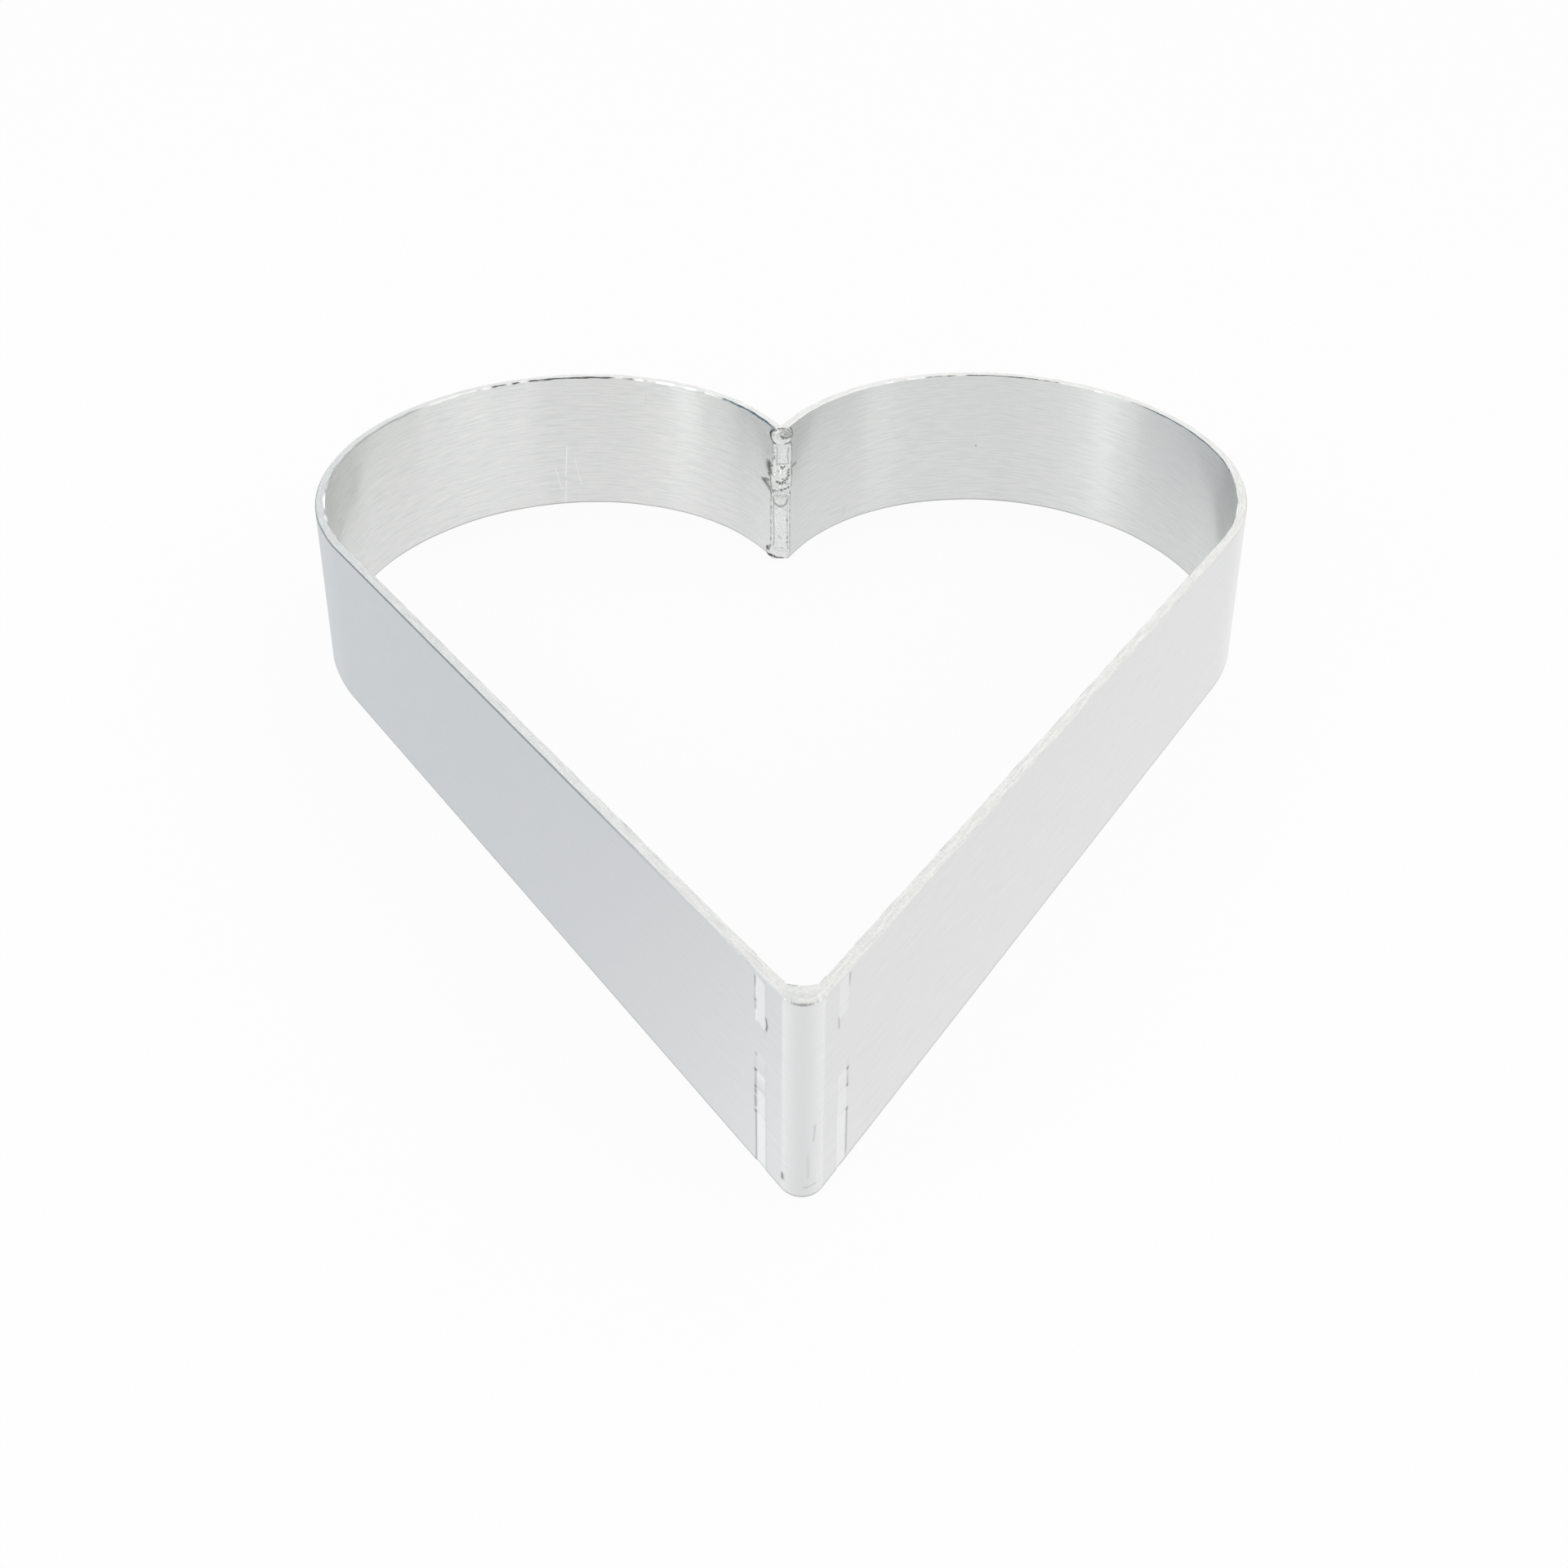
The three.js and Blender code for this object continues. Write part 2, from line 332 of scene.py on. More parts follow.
def die_press(column, z):
    """How hard the die pressed here, 0 to 1."""
    if column.stretch != "die":
        return 0.0
    low, high = DIE_BAND
    s = column.leg_place
    across = smooth(low - DIE_SOFT_EDGE, low + DIE_SOFT_EDGE, s)
    across *= 1 - smooth(high - DIE_CRISP_EDGE, high + DIE_CRISP_EDGE, s)
    height = z / MM - DIE_SLANT * (s - low) / (high - low)
    begin, full = DIE_LOWER_FADE
    along = 0.0
    for bottom, top, force in DIE_CONTACTS[column.side]:
        within = smooth(bottom - begin, bottom - full, height)
        within *= 1 - smooth(top, top + DIE_UPPER_FADE, height)
        along = max(along, force * within)
    return across * along


def outside_darkening(column, z):
    """How dark the outside is here, 0 to 1."""
    if column.stretch == "die":
        return darkness(DIE_EDGE_DARKENING[column.side], column.leg_place / MM, z / MM)
    if column.stretch == "tip":
        return darkness(TIP_STAINS, column.along / MM, z / MM)
    return 0.0


def inside_darkening(column, z):
    """How dark the inside is here, 0 to 1."""
    if column.stretch in ("near", "end"):
        return darkness(WELD_MARKS_AND_FIN_SHADOWS, column.inner.x / MM, z / MM)
    return 0.0


def outer_edge_darkening(column):
    """How dark the outer top edge is: a thin line round the left half, and dirt specks at the fold."""
    specks = 0.5 + 0.5 * noise.noise(Vector((column.along / MM * SPECKS_PER_MM, SPECK_SEED, 0.0)))
    if column.stretch == "tip":
        return FOLD_EDGE_DIRT * smooth(0.4, 0.7, specks)
    if column.side > 0:
        return RIGHT_EDGE_DIRT * specks
    least, more = LEFT_EDGE_DARKENING
    return least + more * smooth(*LEFT_EDGE_RISE, -column.along) * (0.75 + 0.25 * specks)


def inner_edge_stain(column):
    """Dirt in the inner top edge: towards the left end, and round the outer side of both lobes."""
    on_lobe = abs(column.along) - lobe_start
    outer_side = smooth(*OUTER_SIDE_START, on_lobe) * smooth(*OUTER_SIDE_END, on_lobe)
    start, full = LEFT_END_DIRT
    near_end = smooth(-half_length + start, -half_length + full, column.along)
    return INNER_EDGE_DIRT * max(outer_side, near_end)


def fold_swell(column):
    """1 in the middle of the fold, where metal was squeezed in and up along the edges, and 0 outside it."""
    if column.stretch != "tip":
        return 0.0
    return 1 - (column.along / fold_reach) ** 2


def roll_wave(column):
    """Slight unevenness that the bending rolls leave in the lobes."""
    if column.stretch != "lobe":
        return 0.0
    from_fold = abs(column.along)
    fade = smooth(lobe_start, lobe_start + ROLL_START, from_fold)
    fade *= 1 - smooth(lobe_end - ROLL_END, lobe_end, from_fold)
    wave = 0.0
    for length, depth, start in ROLL_WAVES:
        wave += depth * math.sin(column.along / length * 2 * math.pi + start)
    return wave * fade


def stroke(along, seed):
    """One value from 0 to 1 for each short stroke of the deburring blade along an edge."""
    wander = STROKE_WANDER * noise.noise(Vector((along * WANDERS_PER_METRE, seed, 0.0)))
    return (math.floor(along / STROKE_LENGTH + wander) * GOLDEN_RATIO + seed) % 1.0


# The strip's mesh

EDGE_BREAK = 0.25 * MM
SCRAPE = 0.42 * MM
NARROW_SCRAPE = 0.5  # share of that on the legs and the right lobe
SCRAPE_LEAST = 0.6
SCRAPE_SPREAD = 0.7
SCRAPE_AHEAD = 1.1 * MM  # how far the cuts into the rim lead those into the inside
RIM_SEED = 0.2
INSIDE_SEED = 0.7
EDGE_GUARD = 0.06 * MM  # width of the rows that keep the dark of an edge off the faces beside it
EVEN_STEP = 4.5 * MM
DIE_ROW_STEP = 0.34 * MM
WELD_ROW_STEP = 0.5 * MM
# Painted contact shade: the bottom edges are painted dark where the strip meets the floor
BOTTOM_PAINTED_SHADE = 0.5
BOTTOM_LINE = 0.4 * MM  # height of the thin line of painted contact shade along the bottom edges
FOLD_PUSH = 0.5 * MM
FOLD_LIFT = 0.25 * MM
FOLD_DEPTH = 3 * MM
FOLD_SMEAR = 0.3  # share of the edge's dirt that lies on the rim of the fold
LIFT_SHARES = (0.2, 0.8)  # shares of the rim's width over which the fold's lift sets in
SMEAR_SHARES = (0.75, 0.1)  # and over which its dirt does
END_PAINTED_SHEEN = 0.12  # painted sheen: the inside near the left end is painted lighter, and made smoother
END_SHEEN_REACH = (22 * MM, 2 * MM)  # from the left end, where that sets in and where it is full
RIM_SHARES = (0.0, 0.03, 0.25, 0.5, 0.75, 0.97, 1.0)
BOTTOM_SHARES = (0.0, 0.03, 0.5, 0.97, 1.0)
STRIP_SHARP = 14  # in degrees, the least bend that stays a sharp edge

# Materials of the strip, in their order on the mesh
FACE, INSIDE, RIM, SCRAPED, FOLD = range(5)

# A point of a cross-section: its place out from the middle, up, and round the unrolled girth
Row = namedtuple("Row", "offset z v kind burnish soot")


def heights(fine_zones, fine_step):
    """Heights of a face's rows, from low to high: even steps, and fine ones in the zones given."""
    low, high = EDGE_BREAK, STRIP_HEIGHT - EDGE_BREAK
    wanted = [low + BOTTOM_LINE, high - EDGE_GUARD]
    wanted += [low + EVEN_STEP * i for i in range(1, round((high - low) / EVEN_STEP))]
    for start, end in fine_zones:
        wanted += [start * MM + fine_step * i for i in range(round((end - start) * MM / fine_step) + 1)]
    rows = [low]
    for z in sorted(wanted):
        if rows[-1] + 0.5 * EDGE_GUARD < z < high - 0.5 * EDGE_GUARD:
            rows.append(z)
    return rows + [high]


# Heights from and to, in millimetres, where stains and pressed strips need fine rows
DIE_ZONES = ((2.2, 4.8), (11.6, 13.3), (15.1, 18.6), (21.7, 22.7), (25.4, 26.6), (33.4, 38.9), (42.6, 44.3))
WELD_ZONES = ((22.2, 33.7),)
OUTER_HEIGHTS = heights(DIE_ZONES, DIE_ROW_STEP)
INNER_HEIGHTS = heights(WELD_ZONES, WELD_ROW_STEP)[:-2][::-1]  # from high to low, below the scraped edge


def scrape(column, seed, ahead=0.0):
    """How deep the deburring blade cut, stroke by stroke."""
    broad = column.side < 0 and column.stretch in ("lobe", "near", "end")
    size = SCRAPE if broad else SCRAPE * NARROW_SCRAPE
    return size * (SCRAPE_LEAST + SCRAPE_SPREAD * stroke(column.along + ahead, seed))


def outer_rows(column):
    """Rows up the outside."""
    kind = FOLD if column.stretch == "tip" else FACE
    rows = []
    for z in OUTER_HEIGHTS:
        press = die_press(column, z)
        rows.append(Row(half_thickness - DIE_DEPTH * press, z, z, kind, press, outside_darkening(column, z)))
    # The bottom row gets the painted contact shade
    rows[0] = rows[0]._replace(soot=BOTTOM_PAINTED_SHADE)
    rows[-1] = rows[-1]._replace(kind=RIM, soot=outer_edge_darkening(column))
    return rows


def rim_rows(column):
    """Rows across the top edge, from the outside to the inside."""
    swell = fold_swell(column)
    start = half_thickness - EDGE_BREAK
    end = -half_thickness - FOLD_PUSH * swell + scrape(column, RIM_SEED)
    rows = []
    for share in RIM_SHARES:
        offset = start + (end - start) * share
        z = STRIP_HEIGHT + FOLD_LIFT * swell * smooth(*LIFT_SHARES, share)
        v = STRIP_HEIGHT + half_thickness - offset
        smear = FOLD_SMEAR * swell * smooth(*SMEAR_SHARES, share)
        rows.append(Row(offset, z, v, RIM, 0.0, smear * outer_edge_darkening(column)))
    rows[0] = rows[0]._replace(soot=outer_edge_darkening(column))
    rows[-1] = rows[-1]._replace(kind=SCRAPED, soot=inner_edge_stain(column))
    return rows


def inner_rows(column):
    """Rows down the inside."""
    swell = fold_swell(column)
    top = STRIP_HEIGHT + FOLD_LIFT * swell - scrape(column, INSIDE_SEED, SCRAPE_AHEAD)
    start, full = END_SHEEN_REACH
    # Painted sheen near the left end, carried with the die's burnish
    shine = END_PAINTED_SHEEN * smooth(-half_length + start, -half_length + full, column.along)
    rows = []
    for z in [top, top - EDGE_GUARD] + INNER_HEIGHTS:
        offset = -half_thickness - FOLD_PUSH * swell * math.exp(min(z - STRIP_HEIGHT, 0.0) / FOLD_DEPTH)
        rows.append(Row(offset, z, inside_bottom - z, INSIDE, shine, inside_darkening(column, z)))
    rows[0] = rows[0]._replace(soot=inner_edge_stain(column))
    # The bottom row gets the painted contact shade
    rows[-1] = rows[-1]._replace(kind=RIM, soot=BOTTOM_PAINTED_SHADE)
    return rows


def bottom_rows():
    """Rows across the bottom edge, from the inside to the outside."""
    start = -half_thickness + EDGE_BREAK
    rows = []
    for share in BOTTOM_SHARES:
        offset = start * (1 - 2 * share)
        # Painted contact shade on the bottom edge's two corner rows
        contact_shade = BOTTOM_PAINTED_SHADE if share in (0.0, 1.0) else 0.0
        rows.append(Row(offset, 0.0, girth - half_thickness + offset, RIM, 0.0, contact_shade))
    return rows


def strip_faces(sections):
    """Faces between neighbouring columns and at both ends, with their materials and unrolled corners."""
    size = len(sections[0])
    faces, kinds, corners = [], [], []
    for i in range(len(columns) - 1):
        u0, u1 = columns[i].along, columns[i + 1].along
        for j in range(size):
            k = (j + 1) % size
            a, b = i * size + j, i * size + k
            v0, v1 = sections[i][j].v, sections[i][k].v + (girth if k == 0 else 0.0)
            faces.append((a, a + size, b + size, b))
            kinds.append(sections[i][j].kind)
            corners += [(u0, v0), (u1, v0), (u1, v1), (u0, v1)]
    last = (len(columns) - 1) * size
    faces.append(tuple(range(size)))
    faces.append(tuple(last + j for j in reversed(range(size))))
    for i, order in ((0, range(size)), (-1, reversed(range(size)))):
        kinds.append(RIM)
        corners += [(columns[i].along + sections[i][j].offset, sections[i][j].z) for j in order]
    return faces, kinds, corners


def cross_section(column):
    return outer_rows(column) + rim_rows(column) + inner_rows(column) + bottom_rows()


def make_strip():
    sections = [cross_section(column) for column in columns]
    vertices = []
    for column, rows in zip(columns, sections):
        wave = roll_wave(column)
        vertices += [(*column.spot(row.offset + wave), row.z) for row in rows]
    faces, kinds, corners = strip_faces(sections)
    mesh = bpy.data.meshes.new("strip")
    mesh.from_pydata(vertices, [], faces)
    mesh.polygons.foreach_set("material_index", kinds)
    layer = mesh.uv_layers.new(name="along")
    layer.data.foreach_set("uv", [value for corner in corners for value in corner])
    paint(mesh, "burnish", [row.burnish for rows in sections for row in rows])
    paint(mesh, "soot", [row.soot for rows in sections for row in rows])
    paint(mesh, "folded", [fold_swell(column) for column, rows in zip(columns, sections) for _ in rows])
    return finish_mesh(mesh, "strip", STRIP_SHARP)


def paint(mesh, name, values):
    """Stores one value for each vertex, for the materials to read."""
    mesh.attributes.new(name, "FLOAT", "POINT").data.foreach_set("value", values)


def finish_mesh(mesh, name, sharp_degrees):
    """Smooths a mesh, apart from its sharp edges, and makes it a piece of the scene."""
    mesh.polygons.foreach_set("use_smooth", [True] * len(mesh.polygons))
    mesh.set_sharp_from_angle(angle=math.radians(sharp_degrees))
    mesh.update()
    piece = bpy.data.objects.new(name, mesh)
    bpy.context.collection.objects.link(piece)
    return piece


# The weld in the cleft

corner, root = at_end(END_FLAT)  # inner and outer corner of the right end
end_slope = (root.y - corner.y) / (corner.x - root.x)
wall_slope = end_forward.y / end_forward.x
TOE_SINK = 0.06 * MM
BACK_SINK = 0.18 * MM
WELD_STEP = 0.14 * MM
WELD_COLUMNS = 46
WELD_SHARP = 50  # in degrees, the least bend that stays a sharp edge
LEAST_SKIN = 0.02 * MM  # the weld's face stays this far in front of its back
TOE_WANDER = 0.12  # in millimetres, how much the outline wavers
TOE_PAINTED_SHADE = 0.75
TOE_FADE = (0.55, 0.15)  # in millimetres from the outline, where its painted shade sets in and where it is full
TOE_SEED, TOE_SHADE_SEED = 5.0, 9.0
LUMPS_PER_MM, FINE_LUMPS_PER_MM = 0.9, 2.6
FINE_LUMPS_SHARE = 0.45


def wall_y(x):
    """How far back the strip's own metal lies behind the weld, at this distance from the middle."""
    x = abs(x)
    if x < corner.x:
        return corner.y + (corner.x - x) * end_slope
    return corner.y + (x - corner.x) * wall_slope


class Shell:
    """Vertices, faces, and soot and painted shade of one weld piece while it is put together."""

    def __init__(self):
        self.vertices = []
        self.faces = []
        self.soot = []

    def add(self, spot, soot=0.0):
        self.vertices.append(spot)
        self.soot.append(soot)
        return len(self.vertices) - 1

    def piece(self, name):
        mesh = bpy.data.meshes.new(name)
        mesh.from_pydata(self.vertices, [], self.faces)
        paint(mesh, "soot", self.soot)
        return finish_mesh(mesh, name, WELD_SHARP)


def deposit(left, right, crown, square, rough, marks):
    """A run of weld metal: its outline and crown by height, how square the crown is, and its marks."""
    shell = Shell()
    low, high = crown[0][0], crown[-1][0]
    rows = round((high - low) * MM / WELD_STEP)
    front, back = [], []
    for j in range(rows + 1):
        z = low + (high - low) * j / rows
        for i in range(WELD_COLUMNS + 1):
            turn = (i / WELD_COLUMNS - 0.5) * math.pi
            across = math.sin(turn)
            reach = through(left if across < 0 else right, z)
            reach += TOE_WANDER * noise.noise(Vector((z * 0.7, TOE_SEED + (across > 0), rough)))
            x = across * reach
            full = max(1 - abs(across) ** square, 0.0) ** (1 / square)
            toe = wall_y(reach * MM) + TOE_SINK
            face = toe - (toe - corner.y + through(crown, z) * MM) * full
            lift, soot = relief(x, z, rough, marks)
            # Painted shade in the crease along the weld's outline, where it meets the strip
            toe_shade_noise = 0.5 + 0.8 * noise.noise(Vector((z * 0.8, TOE_SHADE_SEED + (across > 0), rough)))
            near_toe = smooth(reach - TOE_FADE[0], reach - TOE_FADE[1], abs(x))
            soot = max(soot, TOE_PAINTED_SHADE * toe_shade_noise * near_toe)
            face -= lift * MM * (1 - abs(across) ** 8)
            hidden = wall_y(x * MM) + BACK_SINK
            front.append(shell.add((x * MM, min(face, hidden - LEAST_SKIN), z * MM), soot))
            back.append(shell.add((x * MM, hidden, z * MM)))
    stitch(shell, front, back, rows)
    return shell


def relief(x, z, rough, marks):
    """Height of the weld's surface above its plain crown, in millimetres, and how dark it is."""
    lift = rough * noise.noise(Vector((x * LUMPS_PER_MM, z * LUMPS_PER_MM, rough)))
    fine = noise.noise(Vector((x * FINE_LUMPS_PER_MM, z * FINE_LUMPS_PER_MM, 3.0)))
    lift += rough * FINE_LUMPS_SHARE * fine
    soot = 0.0
    for mark in marks:
        strength = mark.strength(x, z)
        lift += mark.height * strength
        soot = max(soot, mark.dark * strength)
    return lift, soot


def stitch(shell, front, back, rows):
    """Closes the sheet of the weld's face and the sheet of its hidden back into one solid shell."""
    wide = WELD_COLUMNS + 1
    for j in range(rows):
        for i in range(WELD_COLUMNS):
            a, b, c, d = (j * wide + i, j * wide + i + 1, (j + 1) * wide + i + 1, (j + 1) * wide + i)
            shell.faces.append((front[a], front[b], front[c], front[d]))
            shell.faces.append((back[d], back[c], back[b], back[a]))
    top = rows * wide
    for a in range(WELD_COLUMNS):
        b = a + 1
        shell.faces.append((front[b], front[a], back[a], back[b]))
        shell.faces.append((front[top + a], front[top + b], back[top + b], back[top + a]))
    for j in range(rows):
        a, b = j * wide, (j + 1) * wide
        shell.faces.append((front[a], front[b], back[b], back[a]))
        a, b = a + WELD_COLUMNS, b + WELD_COLUMNS
        shell.faces.append((front[b], front[a], back[a], back[b]))


FLECK_STEPS = 14
FLECK_SIDES = 10
FLECK_DIRT = 0.45


def fleck(shell, start, middle, end, width, height):
    """A thin fin of spatter on the strip's inner face beside the weld, along a bent line in millimetres."""
    start, middle, end = Vector(start), Vector(middle), Vector(end)
    side = 1 if middle.x > 0 else -1
    up = Vector((0, 0, 1))
    out = Vector((-end_out.x * side, -end_out.y, 0))
    rightward = Vector((-end_forward.x, -end_forward.y * side, 0))
    lean = end - start
    breadth = (rightward * lean.y - up * lean.x / rightward.x).normalized()
    rings = []
    for i in range(FLECK_STEPS + 1):
        t = i / FLECK_STEPS
        x, z = start.lerp(middle, t).lerp(middle.lerp(end, t), t)
        centre = Vector((x * MM, wall_y(x * MM), z * MM))
        taper = max(math.sin(math.pi * t), 0.06) ** 0.6
        ring = []
        for k in range(FLECK_SIDES):
            a = 2 * math.pi * k / FLECK_SIDES
            spot = centre + (breadth * math.cos(a) * width / 2 + out * math.sin(a) * height) * MM * taper
            ring.append(shell.add(tuple(spot), FLECK_DIRT))
        rings.append(ring)
    for first, second in zip(rings, rings[1:]):
        for k in range(FLECK_SIDES):
            n = (k + 1) % FLECK_SIDES
            shell.faces.append((first[k], second[k], second[n], first[n]))
    shell.faces.append(tuple(rings[0]))
    shell.faces.append(tuple(reversed(rings[-1])))


def top_tack():
    crack = ((-1.9, 44.4), (-2.95, 43.3), (-3.05, 41.8), (-2.4, 40.3), (-1.1, 39.2))
    # The dark marks are painted shade in the tack's hollows, its crack and the grooves under its lips
    marks = [
        Mark([(0.7, 43.3), (2.1, 43.2)], 1.0, -0.95, 0.3),
        Mark([(1.2, 42.8), (2.6, 42.6)], 0.6, -0.1, 0.55),
        Mark([(-0.9, 43.9), (-0.4, 43.0)], 0.5, 0.2),
        Mark([(0.0, 42.3), (1.5, 41.8), (3.2, 41.9)], 0.32, -0.3, 0.72),
        Mark([(2.0, 44.5), (2.9, 43.0)], 0.22, -0.2, 0.7),
        Mark([(0.4, 41.2), (2.6, 41.0)], 0.5, 0.2),
        Mark(crack, 0.3, -0.25, 0.95),
        Mark([(-1.6, 44.2)], 0.5, -0.5, 0.6),
        Mark([(1.3, 39.7), (2.0, 39.7), (3.0, 40.1)], 0.24, -0.3, 0.9),
    ]
    left = ((38.9, 1.3), (39.6, 2.2), (41.0, 3.1), (42.3, 3.3), (43.6, 3.0), (44.9, 2.2))
    right = ((38.9, 2.3), (40.0, 3.1), (42.0, 3.6), (43.5, 3.4), (44.9, 2.7))
    crown = ((38.9, 0.35), (39.8, 1.0), (41.5, 1.45), (43.2, 1.35), (44.4, 1.0), (44.9, 0.4))
    return deposit(left, right, crown, 2.7, 0.06, marks).piece("weld_top_tack_bead")


def upper_run():
    marks = [
        Mark([(-1.15, 38.9), (-1.1, 36.0), (-1.25, 32.8)], 0.2, -0.16, 0.38),
        Mark([(2.35, 38.4), (2.0, 36.3), (2.3, 33.0)], 0.22, -0.18, 0.42),
        Mark([(-2.05, 36.8)], 0.24, -0.16, 0.75),
        Mark([(-1.95, 35.6), (-1.9, 34.7)], 0.22, -0.16, 0.65),
        Mark([(-2.3, 38.6), (-2.2, 37.8)], 0.2, -0.12, 0.5),
        Mark([(-1.0, 32.9), (2.0, 32.9)], 0.16, -0.08, 0.3),
        Mark([(-1.75, 38.4), (-1.7, 37.6)], 0.3, 0.1),
    ]
    left = ((31.9, 2.55), (36.0, 2.6), (39.6, 2.5))
    right = ((31.9, 3.3), (36.0, 3.45), (39.6, 3.3))
    crown = ((31.9, 0.4), (34.0, 0.5), (38.0, 0.45), (39.6, 0.4))
    return deposit(left, right, crown, 5.0, 0.035, marks).piece("weld_upper_run_bead")


def tie_in():
    pits = ((2.4, 31.0), (2.2, 30.1), (2.4, 29.2), (1.7, 28.7), (1.9, 27.9), (1.1, 27.6), (0.6, 26.9),
            (-0.3, 26.7), (1.3, 26.8), (-1.1, 27.2), (-2.4, 23.6), (-1.7, 24.3), (0.2, 24.5), (1.2, 24.8),
            (2.2, 25.1), (0.6, 28.4))
    marks = [Mark([pit], 0.32, -0.4, 0.85) for pit in pits]
    marks += [
        Mark([(2.4, 30.6), (2.1, 29.0), (1.3, 27.8), (0.2, 26.9), (-1.0, 27.0)], 0.3, -0.3, 0.3),
        Mark([(-2.4, 23.5), (-0.8, 24.0), (0.7, 24.5), (2.2, 25.0)], 0.24, -0.25, 0.3),
        Mark([(-3.1, 30.9), (-2.8, 29.6)], 0.35, -0.2, 0.75),
        Mark([(-3.0, 26.4), (-2.8, 25.0), (-2.3, 23.6)], 0.28, -0.15, 0.55),
        Mark([(-1.5, 29.6), (-1.1, 28.6)], 0.5, 0.3),
        Mark([(0.4, 30.6), (0.7, 29.6)], 0.5, 0.25),
        Mark([(-1.6, 25.6), (0.6, 25.6)], 0.5, 0.2),
        Mark([(-1.8, 22.2), (1.6, 22.2)], 0.9, -0.1, 0.2),
        Mark([(-2.4, 21.6), (-1.9, 19.8), (-0.6, 19.0)], 0.2, -0.16, 0.45),
        Mark([(2.3, 21.6), (1.6, 19.6), (0.6, 18.9)], 0.2, -0.16, 0.45),
    ]
    left = ((18.6, 1.0), (20.0, 2.2), (22.0, 2.7), (24.0, 3.0), (26.5, 3.2), (29.0, 3.35), (31.0, 3.2),
            (32.6, 2.4))
    right = ((18.6, 0.8), (20.0, 2.0), (22.0, 2.8), (25.0, 3.3), (28.0, 3.5), (31.0, 3.4), (32.6, 2.7))
    crown = ((18.6, 0.5), (19.4, 0.9), (21.0, 1.0), (23.4, 1.0), (24.8, 1.45), (26.0, 1.4), (26.9, 1.3),
             (28.5, 1.8), (30.0, 1.8), (31.4, 1.2), (32.6, 0.5))
    shell = deposit(left, right, crown, 2.5, 0.34, marks)
    fleck(shell, (-5.3, 25.2), (-4.5, 24.2), (-2.3, 23.4), 0.55, 0.4)
    fleck(shell, (-5.2, 25.3), (-4.4, 26.1), (-3.0, 26.4), 0.45, 0.3)
    fleck(shell, (-3.6, 28.9), (-3.7, 28.4), (-3.1, 27.8), 0.5, 0.4)
    fleck(shell, (2.9, 30.8), (3.6, 30.8), (4.5, 31.1), 0.35, 0.3)
    return shell.piece("weld_tie_in_lump")


def lower_run():
    overlap = ((-2.3, 21.8), (-1.8, 19.5), (-0.5, 18.5), (0.7, 18.5), (1.7, 19.5), (2.2, 21.8))
    marks = [
        Mark([(-2.1, 22.0), (-2.2, 16.0), (-2.0, 8.0), (-2.2, 5.0)], 0.17, -0.16, 0.5),
        Mark(overlap, 0.25, -0.18, 0.55),
        Mark([(-1.5, 17.5), (-1.25, 14.5), (-1.6, 10.5)], 0.36, 0.17),
        Mark([(1.95, 21.0), (2.0, 12.0), (2.05, 5.0)], 0.17, -0.14, 0.28),
        Mark([(2.5, 21.0), (2.45, 13.0), (2.5, 5.0)], 0.3, 0.1),
        Mark([(1.9, 13.7)], 0.26, -0.25, 0.65),
        Mark([(2.05, 8.2), (2.05, 7.2)], 0.18, -0.15, 0.4),
        Mark([(1.95, 6.0)], 0.26, -0.25, 0.65),
        Mark([(2.05, 4.5), (1.85, 3.9)], 0.24, -0.2, 0.6),
        Mark([(0.9, 17.7), (1.5, 17.4)], 0.3, -0.06, 0.15),
        Mark([(-0.6, 8.4), (-0.1, 7.6)], 0.35, -0.08, 0.18),
    ]
    left = ((4.0, 3.1), (12.0, 3.15), (22.8, 3.05))
    right = ((4.0, 2.95), (12.0, 2.95), (22.8, 2.95))
    crown = ((4.0, 0.5), (13.0, 0.6), (22.8, 0.5))
    return deposit(left, right, crown, 5.0, 0.06, marks).piece("weld_lower_run_bead")


def bottom_tack():
    # Its dark marks are painted shade: the black notch at the left, the shadowed line under its lower edge,
    # and small dips
    marks = [
        Mark([(-4.3, 1.2), (-3.4, 1.3), (-2.4, 1.1)], 0.55, -0.75, 1.0),
        Mark([(-2.0, 1.0), (-0.6, 0.7), (0.6, 0.6)], 0.4, -0.3, 0.95),
        Mark([(1.0, 0.6)], 0.22, -0.2, 0.7),
        Mark([(-4.1, 2.2)], 0.26, -0.2, 0.5),
        Mark([(-3.5, 2.9)], 0.6, 0.3),
        Mark([(1.2, 1.7)], 0.5, 0.28),
        Mark([(2.2, 1.4)], 0.45, 0.25),
        Mark([(1.7, 2.2)], 0.2, -0.15, 0.35),
    ]
    left = ((0.2, 2.6), (0.9, 4.2), (1.8, 4.6), (2.6, 4.4), (3.5, 3.7), (4.7, 3.0))
    right = ((0.2, 1.9), (1.0, 2.7), (2.5, 3.0), (4.7, 2.9))
    crown = ((0.2, 0.25), (1.0, 0.8), (2.4, 1.0), (3.7, 0.85), (4.7, 0.4))
    return deposit(left, right, crown, 2.9, 0.12, marks).piece("weld_bottom_tack_bead")


# Materials

# Dark of the stains and of the painted shade on the meshes
SOOT_AND_SHADE_GREY = (0.035, 0.033, 0.03)
# Grey of the die's burnished strips, also used for the painted sheen at the left end
BURNISH_AND_SHEEN_GREY = (0.93, 0.935, 0.94)
PALE, DULL = (1.0, 1.0, 1.0), (0.3, 0.3, 0.29)
# Painted shade that darkens the inside of the right half of the ring
RIGHT_PAINTED_SHADE = (0.61, 0.625, 0.63)
RIGHT_PAINTED_SHADE_SHARE = 0.22
# Painted shade for the middle of the fold
FOLD_PAINTED_SHADE = (0.745, 0.75, 0.755)

